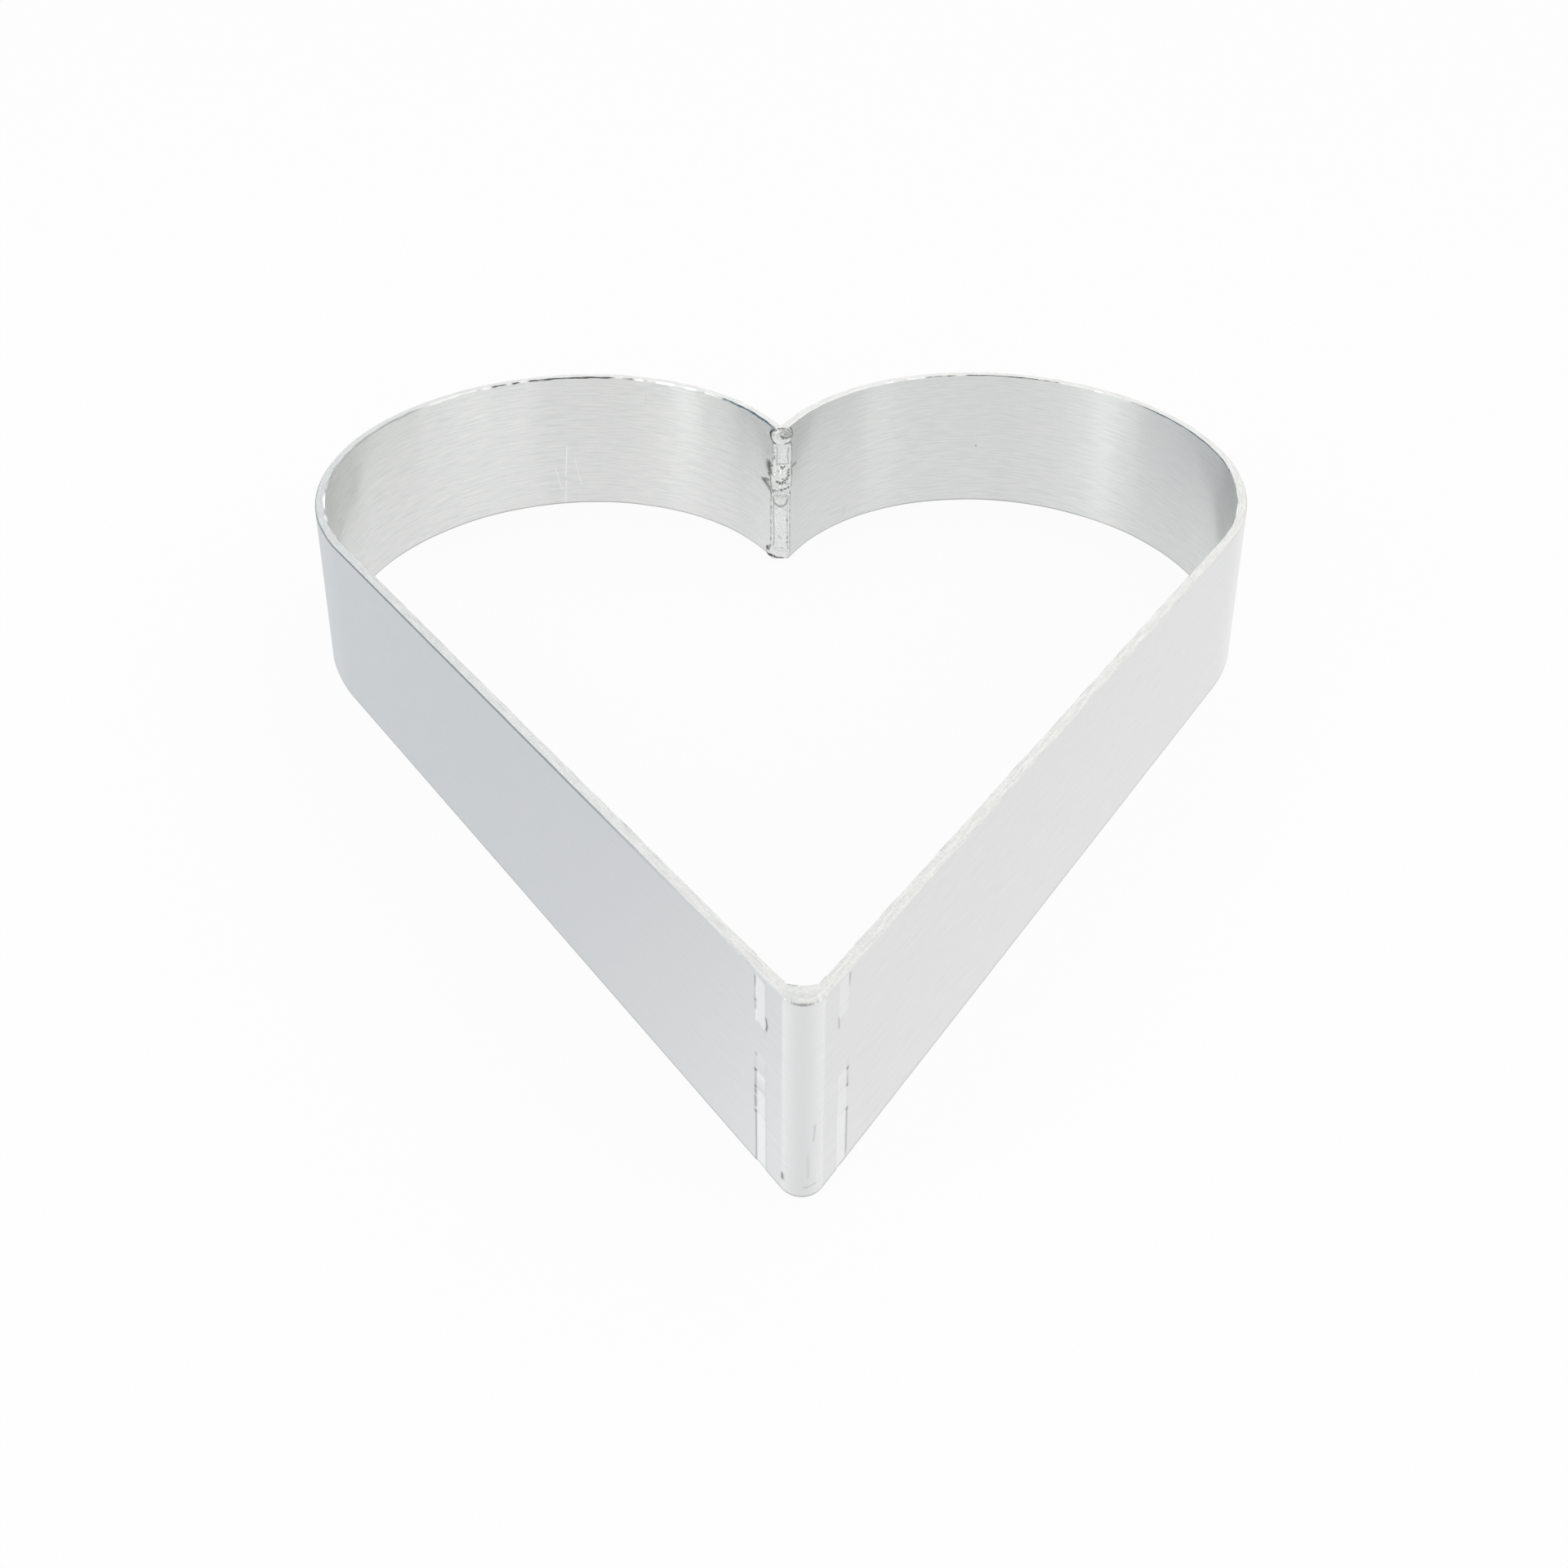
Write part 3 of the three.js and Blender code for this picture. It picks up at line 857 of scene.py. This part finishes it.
# Brushed metal: noise as waves to the metre along and across, and its detail, then greys and roughness
STREAKS = (170.0, 3000.0, 3.0)
LONG_STREAKS = (80.0, 2100.0, 2.0)
CLOUDS = (22.0, 40.0, 2.0)
STREAK_RANGE = (0.36, 0.64)  # values of the noise that take up the whole range of grey
CLOUD_RANGE = (0.4, 0.65)
CLOUD_SHARE = 0.3
BURNISHED_ROUGHNESS = 0.6  # share of the roughness left where the die pressed and near the left end of the inside
OUTSIDE_GREYS = (0.797, 0.80, 0.803), (0.857, 0.86, 0.863)
OUTSIDE_ROUGHNESS = (0.39, 0.46)
INSIDE_GREYS = (0.702, 0.722, 0.724), (0.886, 0.882, 0.866)
INSIDE_ROUGHNESS = (0.275, 0.32)
FOLD_GROOVED = 0.6  # the stretched metal of the fold shows less of the brushing
GROOVE_TURN = 0.25  # of a full turn, so that reflections are drawn out across the grooves
BRUSHED_BUMPS = (0.035, 0.1 * MM)  # strength and depth

# The same for the sheared edges, the scraped edge and the weld
SHEAR_SPECKS = (1300.0, 2400.0, 4.0)
SHEAR_DRAG = (200.0, 1800.0, 2.0)
SHEAR_RANGE = (0.38, 0.62)
SHEAR_GREYS = (0.73, 0.735, 0.73), (0.86, 0.86, 0.855)
SHEAR_ROUGHNESS = (0.50, 0.40)
SHEAR_BUMPS = (0.12, 0.1 * MM)
SCRAPE_STROKES = (240.0, 300.0, 2.0)
SCRAPE_RANGE = (0.4, 0.6)
SCRAPE_GREYS = (0.84, 0.845, 0.85), (0.91, 0.91, 0.91)
SCRAPE_ROUGHNESS = (0.12, 0.22)
FROST = (1400.0, 3.0)  # waves to the metre in every direction, and detail
FROST_RANGE = (0.35, 0.65)
FROST_GREYS = (0.71, 0.725, 0.715), (0.86, 0.865, 0.86)
FROST_ROUGHNESS = (0.24, 0.42)
FROST_BUMPS = (0.4, 0.2 * MM)
PITS = (2600.0, 2.0)
PIT_RANGE = (0.60, 0.70)
PIT_SHARE = 0.65
PIT_GREY = (0.36, 0.37, 0.35)

left_end, right_end = -half_length, half_length
# Scratches on the inside. In millimetres: place from that end and height, from and to, then the width.
# After these come strength and shade
SCRATCHES = (
    (left_end, 81.4, 20.5, 82.3, 10.0, 0.28, 0.9, PALE),
    (left_end, 82.2, 8.6, 82.8, 0.5, 0.28, 0.8, PALE),
    (left_end, 85.6, 13.5, 83.7, 5.0, 0.24, 0.6, PALE),
    (left_end, 79.1, 16.5, 77.3, 7.0, 0.24, 0.6, PALE),
    (left_end, 54.5, 40.0, 54.4, 37.0, 0.4, 0.14, DULL),
    (right_end, -76.9, 20.1, -76.9, 19.8, 0.5, 0.7, DULL),
    (right_end, -29.7, 4.8, -29.3, 3.4, 1.4, 0.12, DULL),
)


def put(tree, kind, **values):
    """Adds a shader node. A value named after a socket sets it, or links it if it is a node's output."""
    made = tree.nodes.new("ShaderNode" + kind)
    for key, value in values.items():
        if hasattr(made, key) and key not in made.inputs:
            setattr(made, key, value)
            continue
        socket = made.inputs[int(key[1:])] if key[1:].isdigit() else made.inputs[key.replace("_", " ")]
        if isinstance(value, bpy.types.NodeSocket):
            tree.links.new(value, socket)
        else:
            socket.default_value = value
    return made


def new_material(name):
    material = bpy.data.materials.new(name)
    material.use_nodes = True
    material.node_tree.nodes.clear()
    return material, material.node_tree


def finish_material(tree, shader):
    output = put(tree, "OutputMaterial")
    tree.links.new(shader.outputs[0], output.inputs["Surface"])


def unrolled(tree):
    """Place on the unrolled strip."""
    return put(tree, "UVMap", uv_map="along").outputs["UV"]


def grain(tree, along, across, detail):
    """Noise drawn out along the strip: so many waves to the metre along it and across it."""
    scaled = put(tree, "Mapping", Vector=unrolled(tree), Scale=(along, across, 1.0))
    return put(tree, "TexNoise", Vector=scaled.outputs["Vector"], Scale=1.0, Detail=detail).outputs["Fac"]


def spread(tree, value, low, high, start=0.0, end=1.0):
    """A value between start and end stretched to a new range."""
    made = put(tree, "MapRange", Value=value, From_Min=start, From_Max=end, To_Min=low, To_Max=high)
    return made.outputs["Result"]


def ease(tree, value, start, end):
    """0 at the start and 1 at the end, with soft ends."""
    made = put(tree, "MapRange", interpolation_type="SMOOTHSTEP", Value=value, From_Min=start, From_Max=end)
    return made.outputs["Result"]


def sums(tree, operation, first, second):
    """One step of arithmetic with two values, each a constant or another node's output."""
    return put(tree, "Math", operation=operation, i0=first, i1=second).outputs["Value"]


def times(tree, first, second):
    return sums(tree, "MULTIPLY", first, second)


def average(tree, first, second):
    return times(tree, sums(tree, "ADD", first, second), 0.5)


def tint(tree, factor, first, second):
    """Mixes two colours, each a constant or another node's output."""
    made = put(tree, "Mix", data_type="RGBA")
    tree.links.new(factor, made.inputs["Factor"])
    for socket, value in ((made.inputs[6], first), (made.inputs[7], second)):
        if isinstance(value, bpy.types.NodeSocket):
            tree.links.new(value, socket)
        else:
            socket.default_value = (*value, 1.0)
    return made.outputs[2]


def bumps(tree, height, strength, depth):
    """A surface made uneven by a pattern."""
    return put(tree, "Bump", Strength=strength, Distance=depth, Height=height).outputs["Normal"]


def finish_metal(tree, colour, rough, **sockets):
    """Bare metal, with the dark stains and the painted shade from the mesh over its colour."""
    soot = put(tree, "Attribute", attribute_name="soot").outputs["Fac"]
    stained = tint(tree, soot, colour, SOOT_AND_SHADE_GREY)
    shader = put(tree, "BsdfPrincipled", Base_Color=stained, Metallic=1.0, Roughness=rough, **sockets)
    finish_material(tree, shader)


def line_mask(tree, start, end, reach):
    """1 on a thin line of the unrolled strip and 0 beside it."""
    start, way = Vector((*start, 0)), Vector((*end, 0)) - Vector((*start, 0))
    offset = put(tree, "VectorMath", operation="SUBTRACT", i0=unrolled(tree), i1=start).outputs["Vector"]
    reading = way / way.length_squared
    share = put(tree, "VectorMath", operation="DOT_PRODUCT", i0=offset, i1=reading).outputs["Value"]
    held = put(tree, "Clamp", Value=share).outputs["Result"]
    nearest = put(tree, "VectorMath", operation="SCALE", i0=way, Scale=held).outputs["Vector"]
    gap = put(tree, "VectorMath", operation="DISTANCE", i0=offset, i1=nearest).outputs["Value"]
    return ease(tree, gap, reach, 0.0)


def scratched(tree, colour):
    """The inside's colour with its few scratches and spots."""
    for end, first_u, first_z, last_u, last_z, reach, strength, shade in SCRATCHES:
        first = end + first_u * MM, inside_bottom - first_z * MM
        last = end + last_u * MM, inside_bottom - last_z * MM
        mask = line_mask(tree, first, last, reach * MM)
        colour = tint(tree, times(tree, mask, strength), colour, shade)
    return colour


def painted_shade_to_the_right(tree, colour):
    """The inside's colour, with painted shade that makes the right half of the ring a little darker."""
    along = put(tree, "SeparateXYZ", Vector=unrolled(tree)).outputs["X"]
    return tint(tree, times(tree, ease(tree, along, 0.0, lobe_start), RIGHT_PAINTED_SHADE_SHARE), colour, RIGHT_PAINTED_SHADE)


def brushed_aluminium(name, greys, roughness, grooved=1.0, inside=False):
    """Satin metal with fine lines along the strip, which draw every reflection out up and down."""
    material, tree = new_material(name)
    dark, light = greys
    middle = [(a + b) / 2 for a, b in zip(dark, light)]
    streaks = grain(tree, *STREAKS)
    long_streaks = grain(tree, *LONG_STREAKS)
    clouds = grain(tree, *CLOUDS)
    burnish = put(tree, "Attribute", attribute_name="burnish").outputs["Fac"]
    mixed = average(tree, streaks, long_streaks)
    grey = tint(tree, spread(tree, mixed, 0.0, 1.0, *STREAK_RANGE), dark, light)
    cloudy = tint(tree, spread(tree, clouds, 0.0, CLOUD_SHARE, *CLOUD_RANGE), grey, middle)
    folded = put(tree, "Attribute", attribute_name="folded").outputs["Fac"]
    # Painted shade: the middle of the fold is painted greyer
    fold_shaded = tint(tree, times(tree, folded, folded), cloudy, FOLD_PAINTED_SHADE)
    # Burnish of the die's strips, and painted sheen at the left end of the inside
    burnished_and_sheened = tint(tree, burnish, fold_shaded, BURNISH_AND_SHEEN_GREY)
    marked = scratched(tree, painted_shade_to_the_right(tree, burnished_and_sheened)) if inside else burnished_and_sheened
    smoothing = spread(tree, burnish, 1.0, BURNISHED_ROUGHNESS)
    rough = times(tree, spread(tree, mixed, *roughness, *STREAK_RANGE), smoothing)
    lie = put(tree, "Tangent", direction_type="UV_MAP", uv_map="along").outputs["Tangent"]
    finish_metal(tree, marked, rough, Anisotropic=grooved, Anisotropic_Rotation=GROOVE_TURN, Tangent=lie,
                 Normal=bumps(tree, mixed, *BRUSHED_BUMPS))
    return material


def sheared_edge():
    """Speckled metal of the cut edges."""
    material, tree = new_material("sheared_edge")
    mixed = average(tree, grain(tree, *SHEAR_SPECKS), grain(tree, *SHEAR_DRAG))
    colour = tint(tree, spread(tree, mixed, 0.0, 1.0, *SHEAR_RANGE), *SHEAR_GREYS)
    rough = spread(tree, mixed, *SHEAR_ROUGHNESS, *SHEAR_RANGE)
    finish_metal(tree, colour, rough, Normal=bumps(tree, mixed, *SHEAR_BUMPS))
    return material


def scraped_edge():
    """Bright metal where a blade took the burr off."""
    material, tree = new_material("scraped_edge")
    strokes = grain(tree, *SCRAPE_STROKES)
    colour = tint(tree, spread(tree, strokes, 0.0, 1.0, *SCRAPE_RANGE), *SCRAPE_GREYS)
    finish_metal(tree, colour, spread(tree, strokes, *SCRAPE_ROUGHNESS, *SCRAPE_RANGE))
    return material


def speckle(tree, waves, detail):
    """Noise that is the same in every direction."""
    place_on = put(tree, "TexCoord").outputs["Object"]
    return put(tree, "TexNoise", Vector=place_on, Scale=waves, Detail=detail).outputs["Fac"]


def weld_metal():
    """Frosty metal of the weld, with dark specks."""
    material, tree = new_material("weld_metal")
    frost = speckle(tree, *FROST)
    pale = tint(tree, spread(tree, frost, 0.0, 1.0, *FROST_RANGE), *FROST_GREYS)
    colour = tint(tree, spread(tree, speckle(tree, *PITS), 0.0, PIT_SHARE, *PIT_RANGE), pale, PIT_GREY)
    rough = spread(tree, frost, *FROST_ROUGHNESS, *FROST_RANGE)
    finish_metal(tree, colour, rough, Normal=bumps(tree, frost, *FROST_BUMPS))
    return material


# Stage: floor, world, lamps and camera. Azimuth 0 is in front of the tip, positive to the right

WHITE = (1.0, 1.0, 1.0)
FLOOR_REACH = 6.0
FLOOR_DROP = 0.05 * MM
FLOOR_GREY = (0.95, 0.95, 0.95)
FLOOR_WHITE_SHARE = 0.92  # of what the camera and the reflections see; the rest takes the shadow
SKY = (1.07, 1.07, 1.05)
SKY_FRONT = (1.05, 1.05, 1.05)
SKY_BACK = (1.35, 1.35, 1.35)
SKY_CORNER = (0.24, 0.34, 0.42)
SKY_GAP = (0.12, 0.12, 0.12)
HORIZON_EDGE = (0.12, 0.25)  # height in a sky of radius 1 where the white round the horizon ends
FRONT_EDGE = (-0.5, -0.9)  # place towards the back, in the same sky, where the front begins
BACK_EDGE = (0.82, 0.97)
GAP_AZIMUTH, GAP_ELEVATION = 0, 66
GAP_EDGE = (0.86, 0.94)  # cosines of the angle from the middle of the gap
SCREEN_NEAR_EDGE = (-86.0, -97.0)  # azimuths, in degrees
SCREEN_FAR_EDGE = (-164.0, -152.0)
SCREEN_TOP = (0.85, 0.65)
SOFTBOX_ELEVATION = 28
SOFTBOX_DISTANCE = 0.9
SOFTBOX_HEIGHT = 0.7


def make_floor():
    corners = [(x * FLOOR_REACH, y * FLOOR_REACH, 0) for x, y in ((-1, -1), (1, -1), (1, 1), (-1, 1))]
    mesh = bpy.data.meshes.new("floor")
    mesh.from_pydata(corners, [], [(0, 1, 2, 3)])
    floor = bpy.data.objects.new("floor", mesh)
    bpy.context.collection.objects.link(floor)
    material, tree = new_material("white_floor")
    material.cycles.emission_sampling = "NONE"
    rays = put(tree, "LightPath").outputs
    seen = sums(tree, "MAXIMUM", rays["Is Camera Ray"], rays["Is Glossy Ray"])
    seen = sums(tree, "MAXIMUM", seen, rays["Is Transmission Ray"])
    share = times(tree, seen, FLOOR_WHITE_SHARE)
    paper = put(tree, "BsdfDiffuse", Color=(*FLOOR_GREY, 1.0))
    glow = put(tree, "Emission", Color=(*WHITE, 1.0), Strength=1.0)
    shader = put(tree, "MixShader", Fac=share, i1=paper.outputs[0], i2=glow.outputs[0])
    finish_material(tree, shader)
    mesh.materials.append(material)
    floor.location.z = -FLOOR_DROP


def patch(tree, way, centre, start, end):
    """1 near one direction of the sky and 0 away from it, between two cosines of the angle from it."""
    cosine = put(tree, "VectorMath", operation="DOT_PRODUCT", i0=way, i1=centre).outputs["Value"]
    return ease(tree, cosine, start, end)


def corner_screen(tree, axes):
    """1 where a cool dim screen stands at the left back of the studio, and 0 elsewhere."""
    forward = times(tree, axes["Y"], -1.0)
    azimuth = times(tree, sums(tree, "ARCTAN2", axes["X"], forward), 180 / math.pi)
    beside = times(tree, ease(tree, azimuth, *SCREEN_NEAR_EDGE), ease(tree, azimuth, *SCREEN_FAR_EDGE))
    return times(tree, beside, ease(tree, axes["Z"], *SCREEN_TOP))


def make_world():
    """Plain studio: white round the horizon, a cool dim corner at the left back and a dark gap overhead."""
    world = bpy.data.worlds.new("studio")
    bpy.context.scene.world = world
    world.use_nodes = True
    tree = world.node_tree
    tree.nodes.clear()
    way = put(tree, "TexCoord").outputs["Generated"]
    axes = put(tree, "SeparateXYZ", Vector=way).outputs
    overhead = towards(GAP_AZIMUTH, GAP_ELEVATION)
    sky = tint(tree, ease(tree, axes["Y"], *FRONT_EDGE), SKY, SKY_FRONT)
    sky = tint(tree, ease(tree, axes["Y"], *BACK_EDGE), sky, SKY_BACK)
    sky = tint(tree, corner_screen(tree, axes), sky, SKY_CORNER)
    sky = tint(tree, patch(tree, way, overhead, *GAP_EDGE), sky, SKY_GAP)
    colour = tint(tree, ease(tree, axes["Z"], *HORIZON_EDGE), WHITE, sky)
    shader = put(tree, "Background", Color=colour, Strength=1.0)
    output = put(tree, "OutputWorld")
    tree.links.new(shader.outputs[0], output.inputs["Surface"])


def make_softbox(name, azimuth, width, radiance, colour):
    """A soft lamp beside the ring, of the same brightness all over."""
    lamp = bpy.data.lights.new(name, "AREA")
    lamp.shape = "RECTANGLE"
    lamp.size = width
    lamp.size_y = SOFTBOX_HEIGHT
    lamp.energy = radiance * math.pi * width * SOFTBOX_HEIGHT
    lamp.color = colour
    softbox = bpy.data.objects.new(name, lamp)
    bpy.context.collection.objects.link(softbox)
    way = towards(azimuth, SOFTBOX_ELEVATION)
    softbox.location = way * SOFTBOX_DISTANCE
    softbox.rotation_euler = way.to_track_quat("Z", "Y").to_euler()


def make_camera():
    data = bpy.data.cameras.new("camera")
    data.sensor_width = CAMERA_SENSOR
    data.lens = CAMERA_LENS
    data.shift_y = CAMERA_SHIFT
    data.clip_start = CAMERA_NEAR_LIMIT
    camera = bpy.data.objects.new("camera", data)
    bpy.context.collection.objects.link(camera)
    way = towards(CAMERA_AZIMUTH, CAMERA_ELEVATION)
    camera.location = CAMERA_CENTRE + way * CAMERA_DISTANCE
    look = (CAMERA_AIM - camera.location).to_track_quat("-Z", "Y").to_matrix()
    camera.rotation_euler = (look @ Matrix.Rotation(CAMERA_ROLL, 3, "Z")).to_euler()
    bpy.context.scene.camera = camera


def place(piece, node, materials):
    """Gives a finished piece its materials and its place in the frame."""
    for material in materials:
        piece.data.materials.append(material)
    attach(piece, "root")
    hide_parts(node)


bpy.context.scene.view_settings.view_transform = "Standard"
make_camera()
make_world()
make_floor()
make_softbox("left_softbox", azimuth=-66, width=0.27, radiance=1.1, colour=(0.96, 0.99, 1.0))
make_softbox("right_softbox", azimuth=46, width=0.8, radiance=0.31, colour=(1.0, 0.99, 0.97))

outside = brushed_aluminium("brushed_outside", OUTSIDE_GREYS, OUTSIDE_ROUGHNESS)
fold = brushed_aluminium("brushed_fold", OUTSIDE_GREYS, OUTSIDE_ROUGHNESS, grooved=FOLD_GROOVED)
inside = brushed_aluminium("brushed_inside", INSIDE_GREYS, INSIDE_ROUGHNESS, inside=True)
place(make_strip(), "heart_strip", [outside, inside, sheared_edge(), scraped_edge(), fold])
weld = [weld_metal()]
place(top_tack(), "weld_top_tack", weld)
place(upper_run(), "weld_upper_run", weld)
place(tie_in(), "weld_tie_in", weld)
place(lower_run(), "weld_lower_run", weld)
place(bottom_tack(), "weld_bottom_tack", weld)
